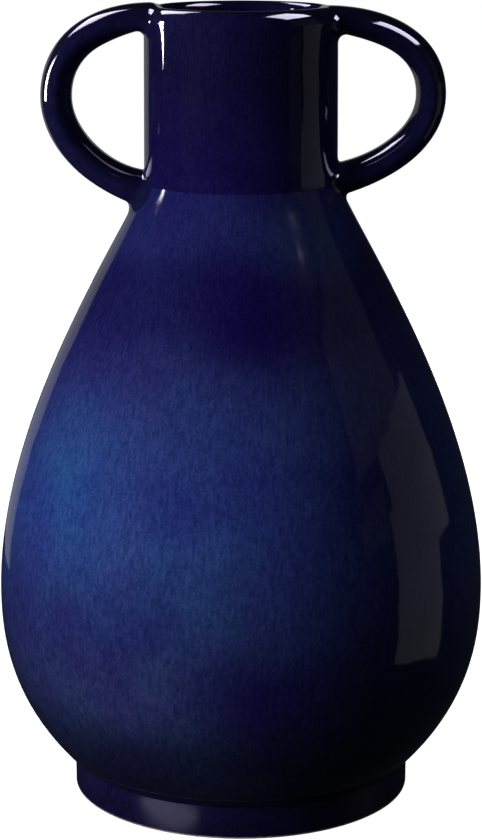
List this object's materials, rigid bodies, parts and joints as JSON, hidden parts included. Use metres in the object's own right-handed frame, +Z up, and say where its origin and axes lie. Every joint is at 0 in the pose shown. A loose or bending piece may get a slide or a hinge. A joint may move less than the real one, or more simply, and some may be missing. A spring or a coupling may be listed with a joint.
{
  "type": "amphora vase",
  "caption": "Pear-shaped glazed stoneware amphora with a straight neck, a rolled lip, ear-shaped handles at the neck and a low foot ring.",
  "frame": {"origin": "on the axis of the vase, in the plane it stands on", "axes": "+Z up along the axis of the body; the handles lie in the plane Y = 0, the left one on the -X side"},
  "size_m": [0.2754, 0.2754, 0.4481],
  "materials": {
    "body_glaze": "glossy cobalt blue glaze, mottled, with fine brush strokes",
    "neck_glaze": "glossy dark cobalt glaze, more violet than the body",
    "handle_glaze": "glossy dark cobalt glaze",
    "foot_glaze": "glossy cobalt glaze with a wiped, unglazed resting edge"
  },
  "bodies": {
    "root": {"body": "body_glaze", "neck": "neck_glaze", "foot_ring": "foot_glaze", "handle_left": "handle_glaze", "handle_right": "handle_glaze", "handle_left_upper_coil": "handle_glaze", "handle_left_lower_coil": "handle_glaze", "handle_right_upper_coil": "handle_glaze", "handle_right_lower_coil": "handle_glaze"}
  },
  "joints": []
}
